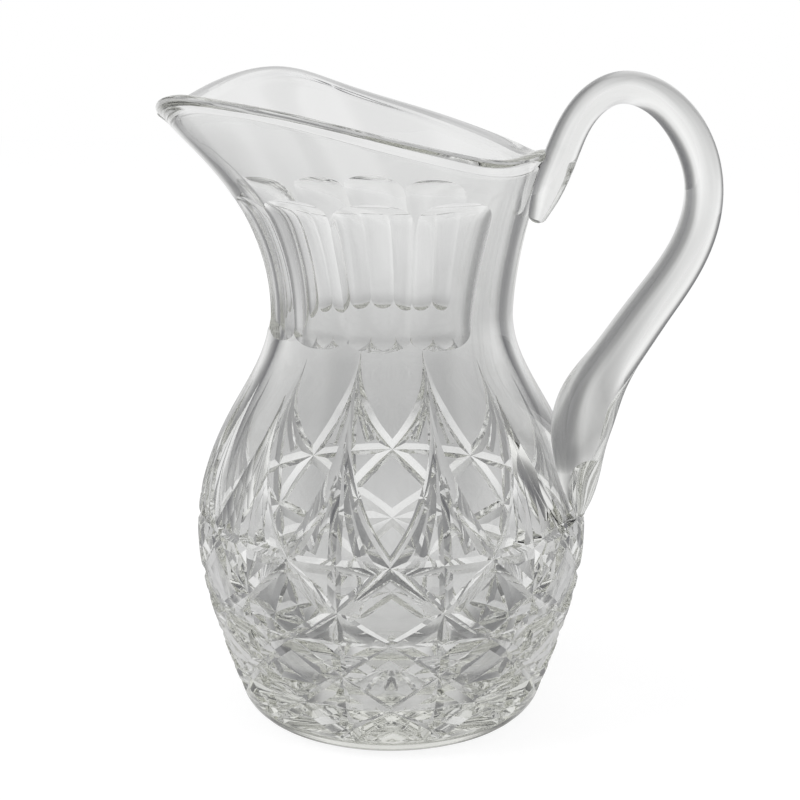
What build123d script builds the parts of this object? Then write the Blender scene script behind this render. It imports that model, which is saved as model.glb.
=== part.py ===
from build123d import *
from math import atan2, cos, degrees, hypot, radians, sin
import os

# Wheel-cut crystal water jug: a heavy one-piece body with a pulled spout, and
# an applied glass handle. Millimetres, +Z up, +X towards the handle, and the
# origin at the middle of the face that the jug stands on.

# Body, outside.
FOOT_R = 44.0
HEEL_R = 55.0
HEEL_Z = 7.0
BELLY_R = 70.3
BELLY_Z = 71.0
NECK_R = 43.2
NECK_Z = 147.0

# Glass thickness.
FLOOR_T = 11.0
BELLY_WALL = 6.0
NECK_WALL = 4.8

# Mouth and spout, as reaches from the axis.
MOUTH_BACK = 57.4
MOUTH_HALF = 57.0
SPOUT_REACH = 86.0
SPOUT_Z = 215.0
BACK_Z = 208.0
RIM_TOP_Z = 228.6
RIM_LOW_Z = 203.6
LIP_ROUND = 2.4

# Neck flutes.
FLUTES = 9
FLUTE_STEP = 28.9
FLUTE_TURN = 15.6
FLUTE_LOW_Z = 140.4
FLUTE_TOP_Z = 189.4
FLUTE_DEPTH = 2.4
FLUTE_HOLLOW = 80.0

# Handle.
GRIP_REACH = 107.6
GRIP_TOP_Z = 226.0
GRIP_THICK = 12.6
GRIP_WIDE = 15.0
ROOT_THICK = 16.5
ROOT_WIDE = 21.0
TONGUE_WIDE = 27.0
TONGUE_LOW_Z = 79.0
TIP_HIGH_Z = 183.0

LOFT_TOP_Z = RIM_TOP_Z + 8
SHOULDER_Z = (BELLY_Z + NECK_Z) / 2
SHOULDER_R = (BELLY_R + NECK_R) / 2 + 2.2
LOWER_Z = HEEL_Z + 0.35 * (BELLY_Z - HEEL_Z)
LOWER_R = HEEL_R + 0.51 * (BELLY_R - HEEL_R)
SECTIONS = [NECK_Z, 151, 158, 166, 174, 182, 190, 198, 206, 213, 220, 228, LOFT_TOP_Z]


def rise(z, top):
    return max(0.0, (z - NECK_Z) / (top - NECK_Z))


def back_reach(z):
    return NECK_R + (MOUTH_BACK - NECK_R) * rise(z, BACK_Z) ** 1.6


def half_width(z):
    return NECK_R + (MOUTH_HALF - NECK_R) * rise(z, 225.0) ** 3


def front_reach(z):
    t = rise(z, SPOUT_Z)
    return NECK_R + 1.09 * (SPOUT_REACH - NECK_R) * t ** 2.35 / (1 + t ** 16) ** 0.13


def widest_x(z):
    return -35.0 * rise(z, 225.0) ** 1.5


def egg(z, wall):
    """Points of the closed horizontal section at height z, wall mm inside the outer face."""
    mid = widest_x(z)
    half = half_width(z) - wall
    back = back_reach(z) - wall - mid
    front = front_reach(z) - wall + mid
    power = 2 / (2.0 - 0.5 * min(1.0, rise(z, 225.0)) ** 2)
    points = []
    for k in range(2, 26):
        c = cos(radians(15 * k))
        s = sin(radians(15 * k))
        if c >= 0:
            points.append((mid + back * c, half * s))
        else:
            points.append((mid - front * abs(c) ** power, half * abs(s) ** power * (1 if s >= 0 else -1)))
    return points


def egg_loft(wall, past):
    """The neck, mouth and spout as a full solid, wall mm inside the outer face.
    past carries it beyond both ends, so that it cuts right through."""
    with BuildPart() as solid:
        for z in [NECK_Z - past] * (past > 0) + SECTIONS[:-1] + [LOFT_TOP_Z + past]:
            if z <= NECK_Z:
                with BuildSketch(Plane.XY.offset(z).rotated((0, 0, 30))):
                    Circle(NECK_R - wall)
            else:
                with BuildSketch(Plane.XY.offset(z)):
                    with BuildLine():
                        Spline(*egg(z, wall), periodic=True)
                    make_face()
        loft()
    return solid.part


# Everything above the rim, which dips towards the handle and rises over the spout.
RIM_SIDE = [
    (-SPOUT_REACH - 12, RIM_TOP_Z - 18),
    (-SPOUT_REACH + 3, RIM_TOP_Z - 8),
    (-SPOUT_REACH + 12, RIM_TOP_Z - 2.4),
    (-SPOUT_REACH + 25, RIM_TOP_Z),
    (-42, RIM_TOP_Z - 4.2),
    (-11, 217.7),
    (13, 211.8),
    (36, 205.8),
    (49, RIM_LOW_Z),
    (MOUTH_BACK + 1, RIM_LOW_Z + 5),
    (MOUTH_BACK + 10, RIM_LOW_Z + 13),
]
SKY = LOFT_TOP_Z + 10
with BuildPart() as above_rim:
    with BuildSketch(Plane.XZ.offset(-MOUTH_HALF - 30)):
        with BuildLine():
            Spline(*RIM_SIDE)
            Polyline(RIM_SIDE[-1], (MOUTH_BACK + 30, SKY), (-SPOUT_REACH - 30, SKY), RIM_SIDE[0])
        make_face()
    extrude(amount=2 * MOUTH_HALF + 60)

# The bowl is turned from a plane that keeps its seam away from the handle and the cutting.
TURNED = Plane.XZ.rotated((0, 0, 25.5))

# The bowl as a full solid, up to the narrowest ring of the neck.
with BuildPart() as bowl_full:
    with BuildSketch(TURNED):
        with BuildLine():
            Line((0, 0), (FOOT_R, 0))
            ThreePointArc((FOOT_R, 0), (HEEL_R - 3.6, HEEL_Z - 4.4), (HEEL_R, HEEL_Z))
            Spline((HEEL_R, HEEL_Z), (LOWER_R, LOWER_Z), (BELLY_R, BELLY_Z),
                   (SHOULDER_R, SHOULDER_Z), (NECK_R, NECK_Z), tangents=((0.4, 1), (0, 1)))
            Polyline((NECK_R, NECK_Z), (0, NECK_Z), (0, 0))
        make_face()
    revolve(axis=Axis.Z)

# The neck and mouth as a full solid, up to the rim.
with BuildPart() as mouth_full:
    add(egg_loft(0, 0))
    add(above_rim.part, mode=Mode.SUBTRACT)

# The bowl, hollowed down to its thick floor.
with BuildPart() as bowl:
    add(bowl_full.part)
    with BuildSketch(TURNED):
        with BuildLine():
            Line((NECK_R - NECK_WALL, NECK_Z + 5), (NECK_R - NECK_WALL, NECK_Z))
            Spline((NECK_R - NECK_WALL, NECK_Z), (SHOULDER_R - 5.6, SHOULDER_Z),
                   (BELLY_R - BELLY_WALL, BELLY_Z), (LOWER_R - 9.5, LOWER_Z - 2),
                   (HEEL_R - 22, FLOOR_T), tangents=((0, -1), (-1, 0)))
            Polyline((HEEL_R - 22, FLOOR_T), (0, FLOOR_T), (0, NECK_Z + 5),
                     (NECK_R - NECK_WALL, NECK_Z + 5))
        make_face()
    revolve(axis=Axis.Z, mode=Mode.SUBTRACT)

# The mouth, hollowed right through, with the lip rounded on its outer edge.
with BuildPart() as mouth:
    add(mouth_full.part)
    add(egg_loft(NECK_WALL, 1), mode=Mode.SUBTRACT)
    fillet(mouth.edges().filter_by(lambda e: e.center().Z > RIM_LOW_Z - 1).sort_by(SortBy.LENGTH)[-1],
           LIP_ROUND)


def reach(angle, z):
    """How far the neck's outer face is from the axis, at an angle and height."""
    ring = egg(z, 0)
    for k in range(24):
        a, b = ring[k], ring[(k + 1) % 24]
        near = (degrees(atan2(a[1], a[0])) - angle + 540) % 360 - 180
        far = (degrees(atan2(b[1], b[0])) - angle + 540) % 360 - 180
        if near <= 0 < far and far - near < 90:
            f = -near / (far - near)
            return hypot(a[0] + f * (b[0] - a[0]), a[1] + f * (b[1] - a[1]))


def flute(angle):
    """One shallow hollow panel, as the solid that a wheel takes off the neck."""
    mid_z = (FLUTE_LOW_Z + FLUTE_TOP_Z) / 2
    half = (FLUTE_TOP_Z - FLUTE_LOW_Z) / 2
    track = []
    for k in range(-9, 10):
        z = mid_z + half * k / 8.4
        deep = FLUTE_DEPTH * (1 - abs(k / 8.4) ** 12)
        flare = 0.026 * max(0.0, NECK_Z - z) ** 2
        track.append((reach(angle, max(z, NECK_Z)) + flare - deep, z))
    out = max(r for r, z in track) + 14
    turn = radians(angle)
    side = Plane(origin=(0, 0, 0), x_dir=(cos(turn), sin(turn), 0), z_dir=(sin(turn), -cos(turn), 0))
    pivot = reach(angle, mid_z) + FLUTE_HOLLOW
    wheel = Axis((pivot * cos(turn), pivot * sin(turn), 0), (0, 0, 1))
    with BuildPart() as tool:
        with BuildSketch(side):
            with BuildLine():
                Spline(*track)
                Polyline(track[-1], (out, track[-1][1]), (out, track[0][1]), track[0])
            make_face()
        revolve(axis=wheel, revolution_arc=44)
    return tool.part.rotate(wheel, -22)


with BuildPart() as jug_body:
    add(bowl.part, clean=False)
    add(mouth.part, clean=False)
    for k in range(FLUTES):
        add(flute(180 + FLUTE_TURN + FLUTE_STEP * (k - (FLUTES - 1) / 2)), mode=Mode.SUBTRACT, clean=False)

# Handle: stations along its middle line, from the snipped upper end to the tip
# of the tongue, as distance from the axis, height, thickness and width.
HANDLE_LINE = [
    (52.6, TIP_HIGH_Z, 6.5, 10.0),
    (54.4, 188.0, 9.0, 13.0),
    (57.4, 196.0, 11.0, 15.0),
    (60.6, 204.5, 11.2, 15.0),
    (64.2, 213.0, 10.8, 14.5),
    (70.0, 221.0, 10.6, 14.0),
    (79.0, GRIP_TOP_Z - 0.2, 10.6, 14.0),
    (88.8, 224.2, 11.2, 14.2),
    (97.4, 218.0, 12.0, GRIP_WIDE),
    (104.0, 208.4, GRIP_THICK, GRIP_WIDE),
    (GRIP_REACH, 197.0, GRIP_THICK, GRIP_WIDE),
    (107.5, 185.6, 13.0, GRIP_WIDE),
    (104.4, 174.6, 13.6, 15.6),
    (99.0, 164.2, 14.4, 16.2),
    (92.2, 153.8, 15.2, 17.0),
    (85.6, 143.6, 16.0, 18.0),
    (79.4, 133.4, ROOT_THICK, 19.4),
    (74.4, 123.0, 17.6, ROOT_WIDE),
    (71.0, 112.2, 18.4, 24.0),
    (69.2, 101.5, 17.0, TONGUE_WIDE),
    (68.8, 91.5, 14.6, 24.0),
    (69.2, 84.0, 9.6, 16.0),
    (69.4, TONGUE_LOW_Z, 4.4, 8.0),
]
with BuildPart() as handle:
    for k, (x, z, thick, wide) in enumerate(HANDLE_LINE):
        before = HANDLE_LINE[max(k - 1, 0)]
        after = HANDLE_LINE[min(k + 1, len(HANDLE_LINE) - 1)]
        along = (after[0] - before[0], 0, after[1] - before[1])
        with BuildSketch(Plane(origin=(x, 0, z), x_dir=(0, 1, 0), z_dir=along)):
            Ellipse(wide / 2, thick / 2)
    loft()
    add(bowl_full.part, mode=Mode.SUBTRACT)
    add(mouth_full.part, mode=Mode.SUBTRACT)

jug_body.part.label = "jug_body"
handle.part.label = "handle"
os.makedirs("parts", exist_ok=True)
export_step(jug_body.part, "parts/jug_body.step")
export_step(handle.part, "parts/handle.step")
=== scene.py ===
import math

import bmesh
import bpy
import numpy as np
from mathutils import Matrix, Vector


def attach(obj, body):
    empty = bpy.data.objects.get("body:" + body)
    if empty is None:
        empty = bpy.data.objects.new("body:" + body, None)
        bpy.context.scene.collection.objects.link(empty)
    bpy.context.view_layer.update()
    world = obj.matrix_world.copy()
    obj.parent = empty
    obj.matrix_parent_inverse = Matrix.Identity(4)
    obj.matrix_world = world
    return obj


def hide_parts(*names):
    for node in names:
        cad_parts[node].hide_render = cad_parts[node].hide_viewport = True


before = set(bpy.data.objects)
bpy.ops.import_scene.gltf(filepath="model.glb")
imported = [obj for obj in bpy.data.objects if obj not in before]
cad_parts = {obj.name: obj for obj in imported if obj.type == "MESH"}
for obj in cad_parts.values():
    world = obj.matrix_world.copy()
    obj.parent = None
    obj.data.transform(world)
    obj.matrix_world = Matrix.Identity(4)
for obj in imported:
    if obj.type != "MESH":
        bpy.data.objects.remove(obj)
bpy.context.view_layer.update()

# The shape is worked out in millimetres, with the main sizes of the part's source.
MM = 0.001

# Bowl, outside: foot, rounded heel, lower wall, belly, shoulder and neck.
FOOT_R = 44.0
HEEL_R, HEEL_Z = 55.0, 7.0
HEEL_MIDDLE = (HEEL_R - 3.6, HEEL_Z - 4.4)
HEEL_WAY = (0.4, 1)
BELLY_R, BELLY_Z = 70.3, 71.0
NECK_R, NECK_Z = 43.2, 147.0
SHOULDER_R = (BELLY_R + NECK_R) / 2 + 2.2
SHOULDER_Z = (BELLY_Z + NECK_Z) / 2
LOWER_R = HEEL_R + 0.51 * (BELLY_R - HEEL_R)
LOWER_Z = HEEL_Z + 0.35 * (BELLY_Z - HEEL_Z)

# Glass thickness, and the flat floor inside the bowl.
FLOOR_T = 11.0
FLOOR_R = HEEL_R - 22
LOWER_WALL, LOWER_DROP = 9.5, 2
BELLY_WALL = 6.0
SHOULDER_WALL = 5.6
NECK_WALL = 4.8

# Mouth and spout: reaches from the axis, and the heights where they are met.
MOUTH_BACK, BACK_Z = 57.4, 208.0
MOUTH_HALF, MOUTH_TOP_Z = 57.0, 225.0
SPOUT_REACH, SPOUT_Z = 86.0, 215.0
SPOUT_GAIN = 1.17
WIDEST_SHIFT = 35.0

# The hand-pulled spout leans: from LEAN_FROM on, its far side's rim is the higher one.
SPOUT_LEAN = 0.13
LEAN_FROM, LEAN_SPAN, LEAN_MOST, LEAN_POWER = 10, 65, 1.2, 2.2

# The lip's height, and how much it swells past the wall.
LIP_HIGH, LIP_BEAD = 6.2, 2.2

# Cutting: the heights where the diagonals cross, and the columns of diamonds.
ROWS = (75.0, 58.1, 45.9, 32.7, 19.5, 9.3)
COLUMNS = 12
STEP = 360 / COLUMNS
PEAK_TURN = 3.0
PEAK_Z = 121.7
UPRIGHT_TOP_Z, UPRIGHT_LOW_Z = ROWS[0] + 4, 7.5

# Depth and half width of the cuts.
DIAGONAL = (2.0, 3.0)
UPRIGHT = (1.7, 2.4)
RING = (1.8, 2.7)
LIFT = 1.0

# The five cuts of a fan: turn, start above the peak, end above the top row, bow,
# depth, half width and the share of the length over which it deepens.
FAN = (
    (-STEP / 2, 3, 0, 2.2, 2.0, 2.9, 0.6),
    (STEP / 2, 3, 0, 2.2, 2.0, 2.9, 0.6),
    (0, 1, 4, 1, 1.7, 2.3, 0.7),
    (-7, 0, 4, 1.6, 1.6, 2.1, 0.7),
    (7, 0, 4, 1.6, 1.6, 2.1, 0.7),
)

# Hollow panels on the neck. FLUTE_HOLLOW is the wheel's radius.
FLUTES, FLUTE_STEP, FLUTE_TURN = 9, 28.9, 15.6
FLUTE_LOW_Z, FLUTE_TOP_Z = 140.4, 189.4
FLUTE_DEPTH, FLUTE_HOLLOW = 2.4, 80.0
FLUTE_FLARE = 0.026
FLUTE_ARC = 13
FLUTE_PAST = 1.07
FLUTE_OUT = 14

# Star under the foot.
STAR_RAYS, STAR_IN, STAR_OUT = 24, 7.0, 41.0
STAR_DEPTH, STAR_HALF = 1.8, 2.6

# How finely the surfaces are stepped.
AROUND = 24 * 22
TURNS = np.arange(AROUND) * 2 * math.pi / AROUND
OUTER_STEPS, INNER_STEPS, NECK_STEPS, RIM_STEPS = 150, 110, 84, 400
HEEL_STEPS, LIP_STEPS = 8, 14
ROW_STEPS, FAN_STEPS, UPRIGHT_STEPS, RING_STEPS, STAR_STEPS = 14, 40, 70, 360, 24
FLUTE_ROWS, FLUTE_COLUMNS = 72, 26
HANDLE_STEPS, HANDLE_AROUND = 260, 72
SHARP_TURN = 22

# Stations down the handle: x, z, thickness in the plane of the handle, width across it.
HANDLE_LINE = [
    (52.6, 183.0, 6.5, 10.0),
    (54.4, 188.0, 9.0, 13.0),
    (57.4, 196.0, 11.0, 15.0),
    (60.6, 204.5, 11.2, 15.0),
    (64.2, 213.0, 10.8, 14.5),
    (70.0, 221.0, 10.6, 14.0),
    (79.0, 225.8, 10.6, 14.0),
    (88.8, 224.2, 11.2, 14.2),
    (97.4, 218.0, 12.0, 15.0),
    (104.0, 208.4, 12.6, 15.0),
    (107.6, 197.0, 12.6, 15.0),
    (107.5, 185.6, 13.0, 15.0),
    (104.4, 174.6, 13.6, 15.6),
    (99.0, 164.2, 14.4, 16.2),
    (92.2, 153.8, 15.2, 17.0),
    (85.6, 143.6, 16.0, 18.0),
    (79.2, 133.4, 17.2, 19.4),
    (73.6, 123.4, 20.4, 22.0),
    (70.0, 112.6, 21.2, 26.0),
    (68.8, 101.5, 18.0, 28.0),
    (68.7, 91.5, 14.8, 25.0),
    (69.2, 84.0, 9.6, 16.0),
    (69.4, 79.0, 4.4, 8.0),
]


def spline(points, count, start=None, end=None):
    """A smooth curve through points, evenly sampled, with optional end directions."""
    p = np.array(points, float)
    lengths = np.linalg.norm(np.diff(p[:, :2], axis=0), axis=1)
    t = np.concatenate([[0], np.cumsum(lengths)])
    n = len(p)
    h = np.diff(t)
    a = np.zeros((n, n))
    b = np.zeros((n, p.shape[1]))
    for i in range(1, n - 1):
        a[i, i - 1], a[i, i], a[i, i + 1] = h[i], 2 * (h[i - 1] + h[i]), h[i - 1]
        b[i] = 3 * (h[i] * (p[i] - p[i - 1]) / h[i - 1] + h[i - 1] * (p[i + 1] - p[i]) / h[i])
    first, last = (p[1] - p[0]) / h[0], (p[-1] - p[-2]) / h[-1]
    for row, way, beside, slope in ((0, start, 1, first), (n - 1, end, n - 2, last)):
        if way is None:
            a[row, row], a[row, beside] = 2, 1
            b[row] = 3 * slope
        else:
            a[row, row] = 1
            b[row] = np.array(way, float) / np.linalg.norm(way)
    m = np.linalg.solve(a, b)
    out = []
    for u in np.linspace(0, t[-1], count):
        i = min(max(int(np.searchsorted(t, u, side="right")) - 1, 0), n - 2)
        s = (u - t[i]) / h[i]
        out.append((2 * s**3 - 3 * s**2 + 1) * p[i] + (s**3 - 2 * s**2 + s) * h[i] * m[i]
                   + (3 * s**2 - 2 * s**3) * p[i + 1] + (s**3 - s**2) * h[i] * m[i + 1])
    return np.array(out)


OUTER = spline(
    [(HEEL_R, HEEL_Z), (LOWER_R, LOWER_Z), (BELLY_R, BELLY_Z), (SHOULDER_R, SHOULDER_Z), (NECK_R, NECK_Z)],
    OUTER_STEPS, HEEL_WAY, (0, 1))
INNER = spline(
    [(NECK_R - NECK_WALL, NECK_Z), (SHOULDER_R - SHOULDER_WALL, SHOULDER_Z),
     (BELLY_R - BELLY_WALL, BELLY_Z), (LOWER_R - LOWER_WALL, LOWER_Z - LOWER_DROP), (FLOOR_R, FLOOR_T)],
    INNER_STEPS, (0, -1), (-1, 0))
# The rim seen from the side, as x and height, from past the spout to past the handle's side.
RIM_SIDE = spline(
    [(-98, 207.5), (-86, 215.8), (-76, 222.6), (-61, 226.6), (-42, 224.0), (-11, 217.2),
     (13, 211.2), (36, 205.0), (49, 203.2), (58.4, 208.0), (67.4, 215.6)],
    RIM_STEPS)


def wall_r(z):
    """The bowl's outer radius at height z."""
    return float(np.interp(z, OUTER[:, 1], OUTER[:, 0]))


def rise(z, top):
    """How far heights z are on the way from the neck to top, from 0."""
    return np.maximum(0.0, (np.asarray(z, float) - NECK_Z) / (top - NECK_Z))


def egg(a, z, wall):
    """x and y of the neck and mouth at section angles a (radians) and heights z."""
    opening = rise(z, MOUTH_TOP_Z)
    mid = -WIDEST_SHIFT * opening**1.5
    half = NECK_R + (MOUTH_HALF - NECK_R) * opening**3 - wall
    back = NECK_R + (MOUTH_BACK - NECK_R) * rise(z, BACK_Z) ** 1.6 - wall - mid
    t = rise(z, SPOUT_Z)
    front = NECK_R + SPOUT_GAIN * (SPOUT_REACH - NECK_R) * t**2.35 / (1 + t**16) ** 0.13 - wall + mid
    # Toward the top the spout's side draws in, from round to a beak.
    beak = np.minimum(1.0, opening) ** 2
    power = 1 + 0.8 * beak
    c, s = np.cos(a), np.sin(a)
    taper = np.maximum(1 - np.abs(c) ** 6, 1e-9) ** (0.6 * beak)
    x = np.where(c >= 0, mid + back * c, mid + front * c)
    y = np.where(c >= 0, half * s, half * np.abs(s) ** power * np.sign(s) * taper)
    return x, y


def rim_height(a, wall):
    """Where the rim cuts the wall at section angles a."""
    z = np.full_like(a, SPOUT_Z)
    for _ in range(80):
        x, y = egg(a, z, wall)
        toward = np.clip((-x - LEAN_FROM) / LEAN_SPAN, 0, LEAN_MOST)
        lean = toward**LEAN_POWER * y * SPOUT_LEAN
        z = 0.5 * z + 0.5 * (np.interp(x, RIM_SIDE[:, 0], RIM_SIDE[:, 1]) + lean)
    return z


def section(a, z, wall):
    x, y = egg(a, z, wall)
    return np.stack([x, y, z], axis=1)


def tube_faces(rings, sides, loop=False):
    """The faces between rings of equal length, with a cap at each end unless they form a loop."""
    faces = []
    for k in range(rings if loop else rings - 1):
        i, j = k * sides, (k + 1) % rings * sides
        faces += [(i + q, i + (q + 1) % sides, j + (q + 1) % sides, j + q) for q in range(sides)]
    if not loop:
        last = (rings - 1) * sides
        faces.append(tuple(reversed(range(sides))))
        faces.append(tuple(range(last, last + sides)))
    return faces


def make(name, verts, faces):
    """A mesh object with its faces turned outward."""
    mesh = bpy.data.meshes.new(name)
    mesh.from_pydata([tuple(v) for v in verts], [], faces)
    bm = bmesh.new()
    bm.from_mesh(mesh)
    bmesh.ops.recalc_face_normals(bm, faces=bm.faces)
    bmesh.ops.triangulate(bm, faces=[f for f in bm.faces if len(f.verts) > 4])
    bm.to_mesh(mesh)
    bm.free()
    obj = bpy.data.objects.new(name, mesh)
    bpy.context.scene.collection.objects.link(obj)
    return obj


def solid(name, rings):
    """A closed mesh from rings of equal length, each an (n, 3) array in millimetres."""
    return make(name, np.concatenate(rings) * MM, tube_faces(len(rings), len(rings[0])))


def joined(name, parts):
    """One mesh object from several (verts, faces) pairs."""
    verts, faces = [], []
    for v, f in parts:
        base = len(verts)
        verts += [tuple(q) for q in v]
        faces += [tuple(i + base for i in face) for face in f]
    return make(name, verts, faces)


def cut(obj, tool, operation="DIFFERENCE"):
    """Takes tool off obj, or melts it on with UNION, and removes it."""
    mod = obj.modifiers.new("cut", "BOOLEAN")
    mod.operation = operation
    mod.solver = "MANIFOLD"
    mod.object = tool
    graph = bpy.context.evaluated_depsgraph_get()
    done = bpy.data.meshes.new_from_object(obj.evaluated_get(graph))
    obj.modifiers.clear()
    old = obj.data
    obj.data = done
    bpy.data.meshes.remove(old)
    data = tool.data
    bpy.data.objects.remove(tool)
    bpy.data.meshes.remove(data)


def ring(r, z):
    """A level circle of radius r at height z."""
    return np.stack([r * np.cos(TURNS), r * np.sin(TURNS), np.full(AROUND, float(z))], axis=1)


def arc_centre(p0, p1, p2):
    """The centre of the circle through three points."""
    d = 2 * (p0[0] * (p1[1] - p2[1]) + p1[0] * (p2[1] - p0[1]) + p2[0] * (p0[1] - p1[1]))
    sq = [p[0] ** 2 + p[1] ** 2 for p in (p0, p1, p2)]
    x = (sq[0] * (p1[1] - p2[1]) + sq[1] * (p2[1] - p0[1]) + sq[2] * (p0[1] - p1[1])) / d
    y = (sq[0] * (p2[0] - p1[0]) + sq[1] * (p0[0] - p2[0]) + sq[2] * (p1[0] - p0[0])) / d
    return x, y


def foot_rings():
    """The flat underside, and the rounded heel as an arc up to the start of the wall."""
    rings = [ring(r, 0.0) for r in (6, 14, 22, 30, 38, FOOT_R)]
    cx, cz = arc_centre((FOOT_R, 0), HEEL_MIDDLE, (HEEL_R, HEEL_Z))
    r = math.hypot(FOOT_R - cx, 0 - cz)
    a0 = math.atan2(-cz, FOOT_R - cx)
    a1 = math.atan2(HEEL_Z - cz, HEEL_R - cx)
    for k in range(1, HEEL_STEPS):
        t = a0 + (a1 - a0) * k / HEEL_STEPS
        rings.append(ring(cx + r * math.cos(t), cz + r * math.sin(t)))
    return rings


def mouth_rings():
    """The neck's outer face, the lip and the inner face back down to the neck."""
    crest_z = rim_height(TURNS, NECK_WALL / 2)
    crest = section(TURNS, crest_z, NECK_WALL / 2)
    up = crest - section(TURNS, crest_z - 3, NECK_WALL / 2)
    up *= LIP_HIGH / np.linalg.norm(up, axis=1)[:, None]
    top = crest_z - up[:, 2]
    rings = []
    for f in np.linspace(0, 1, NECK_STEPS)[1:]:
        rings.append(section(TURNS, NECK_Z + f * (top - NECK_Z), 0.0))
    # The fire-polished lip is a tall half round that runs on from both faces of the wall.
    outer, inner = rings[-1], section(TURNS, top, NECK_WALL)
    middle, across = (outer + inner) / 2, (outer - inner) / 2
    for k in range(1, LIP_STEPS):
        t = math.pi * k / LIP_STEPS
        full = 1 + LIP_BEAD * math.sin(t) ** 2
        rings.append(middle + across * math.cos(t) * full + up * math.sin(t))
    for f in np.linspace(1, 0, NECK_STEPS)[:-1]:
        rings.append(section(TURNS, NECK_Z + f * (top - NECK_Z), NECK_WALL))
    return rings


def body_rings():
    """The body's whole skin, from the middle of the foot over the lip to the floor inside."""
    rings = foot_rings() + [ring(r, z) for r, z in OUTER]
    rings += mouth_rings() + [ring(r, z) for r, z in INNER]
    return rings + [ring(r, FLOOR_T) for r in (24, 14, 6)]


def on_wall(angle, z, out):
    """A point out mm off the bowl's outer face, in millimetres."""
    slope = wall_r(z + 0.5) - wall_r(z - 0.5)
    size = math.hypot(1, slope)
    r = wall_r(z) + out / size
    t = math.radians(angle)
    return np.array([r * math.cos(t), r * math.sin(t), z - out * slope / size])


def wedge(low, high, side, w):
    """The three corners of a V cut's section: its edge in the glass, and w to each side off the wall."""
    return [low * MM, (high + side * w) * MM, (high - side * w) * MM]


def groove(path, depth, half, run_in=0.0):
    """A V-edged wheel's cut along path, a list of (angle, height).
    It deepens over the share run_in of its length."""
    verts = []
    for k, (a, z) in enumerate(path):
        deep = depth
        if run_in:
            deep = depth * min(1.0, 0.04 + k / (len(path) - 1) / run_in)
        low, high = on_wall(a, z, -deep), on_wall(a, z, LIFT)
        b, f = path[max(k - 1, 0)], path[min(k + 1, len(path) - 1)]
        along = on_wall(f[0], f[1], 0) - on_wall(b[0], b[1], 0)
        up = (high - low) / np.linalg.norm(high - low)
        side = np.cross(along, up)
        side /= np.linalg.norm(side)
        verts += wedge(low, high, side, half * (deep + LIFT) / depth)
    return verts, tube_faces(len(path), 3)


def zigzag(start, way):
    """A diagonal from the top row down to the last, half a column a row."""
    out = []
    for k in range(len(ROWS) - 1):
        for f in np.linspace(0, 1, ROW_STEPS)[:-1]:
            out.append((start + way * STEP / 2 * (k + f), ROWS[k] + f * (ROWS[k + 1] - ROWS[k])))
    out.append((start + way * STEP / 2 * (len(ROWS) - 1), ROWS[-1]))
    return out


def sweep(a0, a1, z0, z1, bow, count):
    """A path from one angle and height to another, bowed where bow isn't 1."""
    return [(a0 + (a1 - a0) * f**bow, z0 + (z1 - z0) * f) for f in np.linspace(0, 1, count)]


def ring_groove(z, depth, half):
    """A V groove right round the bowl, as a closed loop."""
    verts = []
    for k in range(RING_STEPS):
        a = 360 * k / RING_STEPS
        low, high = on_wall(a, z, -depth), on_wall(a, z, LIFT)
        up = (high - low) / np.linalg.norm(high - low)
        t = math.radians(a)
        side = np.cross(np.array([-math.sin(t), math.cos(t), 0]), up)
        verts += wedge(low, high, side, half * (depth + LIFT) / depth)
    return verts, tube_faces(RING_STEPS, 3, loop=True)


def star_ray(angle):
    """One ray of the star cut under the foot."""
    t = math.radians(angle)
    way = np.array([math.cos(t), math.sin(t), 0])
    side = np.array([-math.sin(t), math.cos(t), 0])
    verts = []
    for f in np.linspace(0, 1, STAR_STEPS):
        deep = STAR_DEPTH * (0.05 + math.sin(math.pi * min(1.0, f * 1.02)) ** 0.7)
        at = way * (STAR_IN + (STAR_OUT - STAR_IN) * f)
        w = side * STAR_HALF * (deep + LIFT) / STAR_DEPTH
        below = np.array([0, 0, LIFT])
        verts += [(at + np.array([0, 0, deep])) * MM, (at + w - below) * MM, (at - w - below) * MM]
    return verts, tube_faces(STAR_STEPS, 3)


def reach(angle, z):
    """How far the neck's outer face is from the axis at an angle and height."""
    a = np.linspace(0, 2 * math.pi, 721)
    x, y = egg(a, np.full_like(a, z), 0.0)
    polar = np.unwrap(np.arctan2(y, x))
    return float(np.interp(math.radians(angle % 360), polar, np.hypot(x, y)))


def flute(angle):
    """One shallow hollow panel on the neck, as the solid that comes off."""
    mid_z, half = (FLUTE_LOW_Z + FLUTE_TOP_Z) / 2, (FLUTE_TOP_Z - FLUTE_LOW_Z) / 2
    pivot = reach(angle, mid_z) + FLUTE_HOLLOW
    track = []
    for u in np.linspace(-FLUTE_PAST, FLUTE_PAST, FLUTE_ROWS):
        z = mid_z + half * u
        flare = FLUTE_FLARE * max(0.0, NECK_Z - z) ** 2
        track.append((reach(angle, max(z, NECK_Z)) + flare - FLUTE_DEPTH * (1 - abs(u) ** 12), z))
    out = max(r for r, _ in track) + FLUTE_OUT
    t = math.radians(angle)
    arc = np.radians(np.linspace(-FLUTE_ARC, FLUTE_ARC, FLUTE_COLUMNS))
    verts = []
    for r, z in track:
        row = [(pivot - (pivot - r) * math.cos(q), (pivot - r) * math.sin(q)) for q in arc]
        row += [(max(out, row[-1][0] + 1), row[-1][1]), (max(out, row[0][0] + 1), row[0][1])]
        for x, y in row:
            east, north = x * math.cos(t) - y * math.sin(t), x * math.sin(t) + y * math.cos(t)
            verts.append((east * MM, north * MM, z * MM))
    return verts, tube_faces(len(track), len(arc) + 2)


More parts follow.
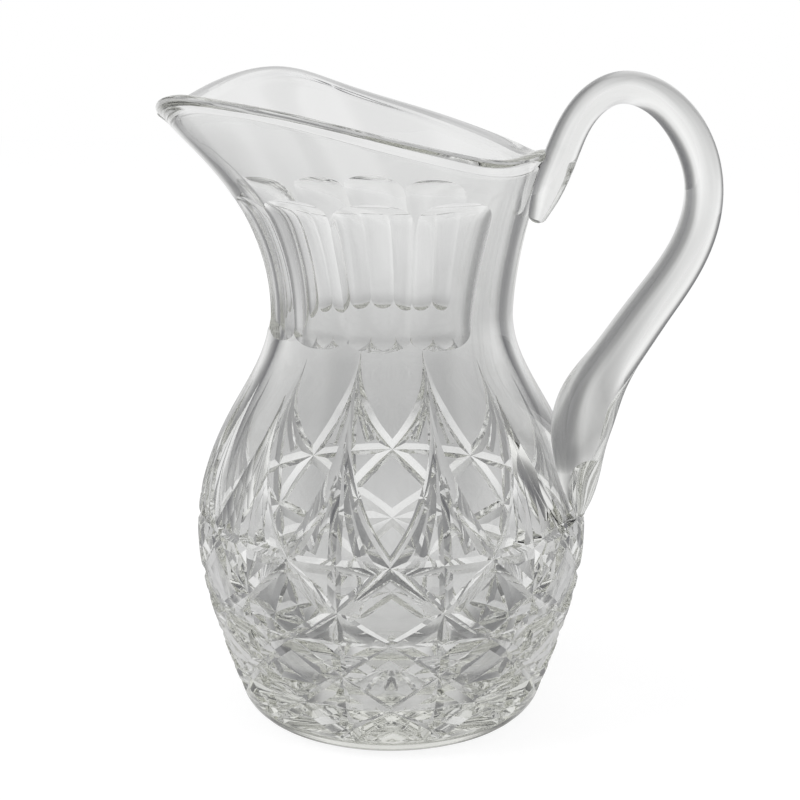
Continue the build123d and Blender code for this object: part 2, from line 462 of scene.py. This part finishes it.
def handle_rod():
    """The handle as one closed rod with rounded ends."""
    line = spline(HANDLE_LINE, HANDLE_STEPS)
    a = np.arange(HANDLE_AROUND) * 2 * math.pi / HANDLE_AROUND
    rings = []
    for k, (x, z, thick, wide) in enumerate(line):
        b, f = line[max(k - 1, 0)], line[min(k + 1, len(line) - 1)]
        along = np.array([f[0] - b[0], f[1] - b[1]])
        along /= np.linalg.norm(along)
        side = (-along[1], along[0])
        u, w = np.cos(a) * thick / 2, np.sin(a) * wide / 2
        rings.append(np.stack([x + side[0] * u, w, z + side[1] * u], axis=1))
    ends = []
    for end, beside in ((rings[0], rings[1]), (rings[-1], rings[-2])):
        middle = end.mean(axis=0)
        out = middle - beside.mean(axis=0)
        out /= np.linalg.norm(out)
        depth = np.linalg.norm(end - middle, axis=1).min() * 0.8
        ends.append([middle + (end - middle) * math.cos(q) + out * depth * math.sin(q)
                     for q in np.radians((20, 40, 60, 78))])
    return solid("handle_rod", ends[0][::-1] + rings + ends[1])


def wheel_cuts():
    """Groups of cuts, each made in one go."""
    peaks = [PEAK_TURN + STEP * k for k in range(COLUMNS)]
    troughs = [p + STEP / 2 for p in peaks]
    groups = [[groove(zigzag(t, way), *DIAGONAL) for t in troughs] for way in (1, -1)]
    uprights = [sweep(p, p, UPRIGHT_TOP_Z, UPRIGHT_LOW_Z, 1, UPRIGHT_STEPS) for p in peaks]
    groups.append([groove(path, *UPRIGHT) for path in uprights])
    groups.append([ring_groove(z, *RING) for z in ROWS[0:5:2]])
    # The first peak is under the handle, and has no fan.
    for turn, above, over, bow, depth, half, run_in in FAN:
        paths = [sweep(p, p + turn, PEAK_Z + above, ROWS[0] + over, bow, FAN_STEPS) for p in peaks[1:]]
        groups.append([groove(path, depth, half, run_in) for path in paths])
    flutes = [flute(180 + FLUTE_TURN + FLUTE_STEP * (k - (FLUTES - 1) / 2)) for k in range(FLUTES)]
    groups += [flutes[k::3] for k in range(3)]
    rays = [star_ray(PEAK_TURN + 360 * k / STAR_RAYS) for k in range(STAR_RAYS)]
    return groups + [rays[k::2] for k in range(2)]


# Shader nodes. A node of mixed colours has its share, colours and result at these places.
MIX_SHARE, MIX_ONE, MIX_TWO, MIX_RESULT = 0, 6, 7, 2
WHITE = (1, 1, 1, 1)


def grey(value):
    return (value, value, value, 1)


def feed(tree, socket, value):
    """Sets a socket to a value, or links another node's output to it."""
    if isinstance(value, bpy.types.NodeSocket):
        tree.links.new(value, socket)
    else:
        socket.default_value = value


def worked(tree, kind, one, two):
    """The result of one maths node."""
    node = tree.nodes.new("ShaderNodeMath")
    node.operation = kind
    feed(tree, node.inputs[0], one)
    feed(tree, node.inputs[1], two)
    return node.outputs[0]


def mixed(tree, share, one, two, blend="MIX"):
    """Two colours mixed, or multiplied."""
    node = tree.nodes.new("ShaderNodeMix")
    node.data_type = "RGBA"
    node.blend_type = blend
    for place, value in ((MIX_SHARE, share), (MIX_ONE, one), (MIX_TWO, two)):
        feed(tree, node.inputs[place], value)
    return node.outputs[MIX_RESULT]


def ramp(tree, value, first, last, between=()):
    """The colour at value, on a ramp of (position, colour) stops."""
    node = tree.nodes.new("ShaderNodeValToRGB")
    tree.links.new(value, node.inputs[0])
    stops = node.color_ramp.elements
    stops[0].position, stops[0].color = first
    stops[1].position, stops[1].color = last
    for position, colour in between:
        stops.new(position).color = colour
    return node.outputs[0]


def noise(tree, place, scale, detail):
    """Soft random values over the object."""
    node = tree.nodes.new("ShaderNodeTexNoise")
    node.inputs["Scale"].default_value = scale
    node.inputs["Detail"].default_value = detail
    tree.links.new(place, node.inputs["Vector"])
    return node.outputs["Fac"]


def crystal():
    """Clear lead crystal, faintly warm where it is thick."""
    glass = bpy.data.materials.new("crystal")
    glass.use_nodes = True
    tree = glass.node_tree
    shader = tree.nodes["Principled BSDF"]
    shader.inputs["Base Color"].default_value = (0.945, 0.947, 0.945, 1)
    shader.inputs["Transmission Weight"].default_value = 1.0
    shader.inputs["Roughness"].default_value = 0.0
    shader.inputs["IOR"].default_value = 1.545
    depth = tree.nodes.new("ShaderNodeVolumeAbsorption")
    depth.inputs["Color"].default_value = (0.8, 0.805, 0.74, 1)
    depth.inputs["Density"].default_value = 7
    tree.links.new(depth.outputs[0], tree.nodes["Material Output"].inputs["Volume"])
    # Hand work shows as a faint waviness, and use as a slight dulling in patches.
    place = tree.nodes.new("ShaderNodeTexCoord").outputs["Object"]
    bump = tree.nodes.new("ShaderNodeBump")
    bump.inputs["Strength"].default_value = 0.35
    bump.inputs["Distance"].default_value = 0.0004
    tree.links.new(noise(tree, place, scale=34, detail=1.5), bump.inputs["Height"])
    tree.links.new(bump.outputs["Normal"], shader.inputs["Normal"])
    dull = tree.nodes.new("ShaderNodeMapRange")
    dull.inputs["From Min"].default_value = 0.45
    dull.inputs["From Max"].default_value = 0.75
    dull.inputs["To Max"].default_value = 0.008
    tree.links.new(noise(tree, place, scale=16, detail=2.0), dull.inputs["Value"])
    tree.links.new(dull.outputs[0], shader.inputs["Roughness"])
    return glass


jug = solid("jug_glass", body_rings())
cut(jug, handle_rod(), "UNION")
for number, parts in enumerate(wheel_cuts()):
    cut(jug, joined("wheel_%d" % number, parts))
jug.data.shade_smooth()
jug.data.set_sharp_from_angle(angle=math.radians(SHARP_TURN))
jug.data.materials.clear()
jug.data.materials.append(crystal())
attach(jug, "root")
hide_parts("jug_body", "handle")

# The photograph looks at the jug's side from 18 degrees toward the handle, which is on the right.
PHOTO_TURN = math.radians(72)
TOWARD = Vector((math.cos(-PHOTO_TURN), math.sin(-PHOTO_TURN), 0))
RIGHT = Vector((math.sin(PHOTO_TURN), math.cos(PHOTO_TURN), 0))

# Greys of the studio round the jug, from its bright sides to the middle of its four gaps.
STUDIO_SIDE = (0.0, grey(0.88))
STUDIO_GAP = (1.0, (0.16, 0.16, 0.17, 1))
STUDIO_BETWEEN = [(0.12, grey(0.88)), (0.42, grey(1.0)), (0.64, grey(0.86)), (0.84, grey(0.34))]

# Painted shade: the floor's glow, seen in the glass, is painted darker round the jug. Positions are shares
# of the floor's radius.
STAGE_R, STAGE_DROP, STAGE_SIDES = 3, 0.0004, 96
FLOOR_NEAR = (0.0, (0.66, 0.66, 0.655, 1))
FLOOR_FAR = (1.0, WHITE)
FLOOR_BETWEEN = [(0.06, grey(0.6)), (0.13, grey(0.42)), (0.27, grey(0.66)), (0.4, grey(0.84)),
                 (0.7, grey(0.96))]
FLOOR_GREY, FLOOR_GLOW = 0.22, 0.85

# The sky is a little darker overhead.
SKY_LOW = (0.2, WHITE)
SKY_HIGH = (0.8, (0.95, 0.95, 0.96, 1))

LAMP_AIM = Vector((0, 0, 0.11))


def surround(tree, vector):
    """The studio round the glass: pale, with four soft grey gaps between its bright sides."""
    def along(way):
        node = tree.nodes.new("ShaderNodeVectorMath")
        node.operation = "DOT_PRODUCT"
        tree.links.new(vector, node.inputs[0])
        node.inputs[1].default_value = way
        return node.outputs["Value"]

    x, y = along(TOWARD), along(RIGHT)
    size = worked(tree, "ADD", worked(tree, "MULTIPLY", x, x), worked(tree, "MULTIPLY", y, y))
    both = worked(tree, "MULTIPLY", 2.0, worked(tree, "MULTIPLY", x, y))
    turn = worked(tree, "DIVIDE", both, worked(tree, "MAXIMUM", size, 0.0001))
    return ramp(tree, worked(tree, "MULTIPLY", turn, turn), STUDIO_SIDE, STUDIO_GAP, STUDIO_BETWEEN)


def studio_floor():
    """A floor that the camera sees as white, and that keeps the jug's shadow. To glossy and transmission
    rays it glows with painted light: the studio's bright sides and grey gaps, and a painted shade round
    the jug.
    """
    bpy.ops.mesh.primitive_circle_add(
        vertices=STAGE_SIDES, radius=STAGE_R, fill_type="NGON", location=(0, 0, -STAGE_DROP))
    floor = bpy.context.object
    floor.name = "floor"
    material = bpy.data.materials.new("floor")
    material.use_nodes = True
    tree = material.node_tree
    tree.nodes.clear()
    place = tree.nodes.new("ShaderNodeTexCoord").outputs["Object"]
    away = tree.nodes.new("ShaderNodeVectorMath")
    away.operation = "LENGTH"
    tree.links.new(place, away.inputs[0])
    share = worked(tree, "DIVIDE", away.outputs["Value"], float(STAGE_R))
    # Painted shade: the floor's glow is darkened round the jug.
    painted_shade_round_jug = ramp(tree, share, FLOOR_NEAR, FLOOR_FAR, FLOOR_BETWEEN)
    # Painted light: the floor glows with the studio's bright sides and grey gaps, though it is no lamp.
    dim = mixed(tree, 1.0, surround(tree, place), painted_shade_round_jug, "MULTIPLY")
    path = tree.nodes.new("ShaderNodeLightPath").outputs
    glow = tree.nodes.new("ShaderNodeEmission")
    tree.links.new(mixed(tree, path["Is Camera Ray"], dim, WHITE), glow.inputs["Color"])
    seen = worked(tree, "MAXIMUM", path["Is Camera Ray"], path["Is Glossy Ray"])
    seen = worked(tree, "MAXIMUM", seen, path["Is Transmission Ray"])
    tree.links.new(worked(tree, "MULTIPLY", seen, FLOOR_GLOW), glow.inputs["Strength"])
    diffuse = tree.nodes.new("ShaderNodeBsdfDiffuse")
    diffuse.inputs["Color"].default_value = grey(FLOOR_GREY)
    both = tree.nodes.new("ShaderNodeAddShader")
    tree.links.new(diffuse.outputs[0], both.inputs[0])
    tree.links.new(glow.outputs[0], both.inputs[1])
    tree.links.new(both.outputs[0], tree.nodes.new("ShaderNodeOutputMaterial").inputs[0])
    floor.data.materials.append(material)
    return floor


def studio_world():
    """The same studio above the floor, white to the camera."""
    world = bpy.data.worlds.new("studio")
    world.use_nodes = True
    tree = world.node_tree
    tree.nodes.clear()
    way = tree.nodes.new("ShaderNodeTexCoord").outputs["Generated"]
    split = tree.nodes.new("ShaderNodeSeparateXYZ")
    tree.links.new(way, split.inputs[0])
    sky = ramp(tree, split.outputs["Z"], SKY_LOW, SKY_HIGH)
    dim = mixed(tree, 1.0, surround(tree, way), sky, "MULTIPLY")
    camera_ray = tree.nodes.new("ShaderNodeLightPath").outputs["Is Camera Ray"]
    back = tree.nodes.new("ShaderNodeBackground")
    tree.links.new(mixed(tree, camera_ray, dim, WHITE), back.inputs[0])
    tree.links.new(back.outputs[0], tree.nodes.new("ShaderNodeOutputWorld").inputs[0])
    return world


def lamp(name, size, place, power):
    """A soft lamp aimed at the jug, which the glass itself doesn't show."""
    data = bpy.data.lights.new(name, "AREA")
    data.shape = "RECTANGLE"
    data.size, data.size_y = size
    data.energy = power
    obj = bpy.data.objects.new(name, data)
    obj.location = place
    obj.rotation_euler = (LAMP_AIM - Vector(place)).to_track_quat("-Z", "Y").to_euler()
    obj.visible_glossy = False
    obj.visible_transmission = False
    bpy.context.scene.collection.objects.link(obj)


floor = studio_floor()
bpy.context.scene.world = studio_world()
lamp("key", (0.5, 0.9), (-0.9, -0.9, 1.0), 9)
lamp("fill", (0.4, 0.8), (1.2, -0.5, 0.7), 5)

# Camera, fitted to the photograph: its focal length in pixels, and its place in metres.
PHOTO_WIDE, FOCAL = 800, 1558.4
SENSOR = 36
PITCH = math.radians(13.61)
CAMERA_BACK, CAMERA_ASIDE, CAMERA_HIGH = 0.5454, 0.0032, 0.2465
camera = bpy.data.objects.new("camera", bpy.data.cameras.new("camera"))
camera.data.sensor_width = SENSOR
camera.data.lens = SENSOR * FOCAL / PHOTO_WIDE
camera.location = TOWARD * CAMERA_BACK + RIGHT * CAMERA_ASIDE + Vector((0, 0, CAMERA_HIGH))
forward = -TOWARD * math.cos(PITCH) - Vector((0, 0, math.sin(PITCH)))
camera.rotation_euler = forward.to_track_quat("-Z", "Y").to_euler()
bpy.context.scene.collection.objects.link(camera)
bpy.context.scene.camera = camera
bpy.context.scene.view_settings.view_transform = "Standard"

# Light turns many times inside cut glass before it leaves.
cycles = bpy.context.scene.cycles
cycles.max_bounces = 32
cycles.glossy_bounces = 24
cycles.transmission_bounces = 32
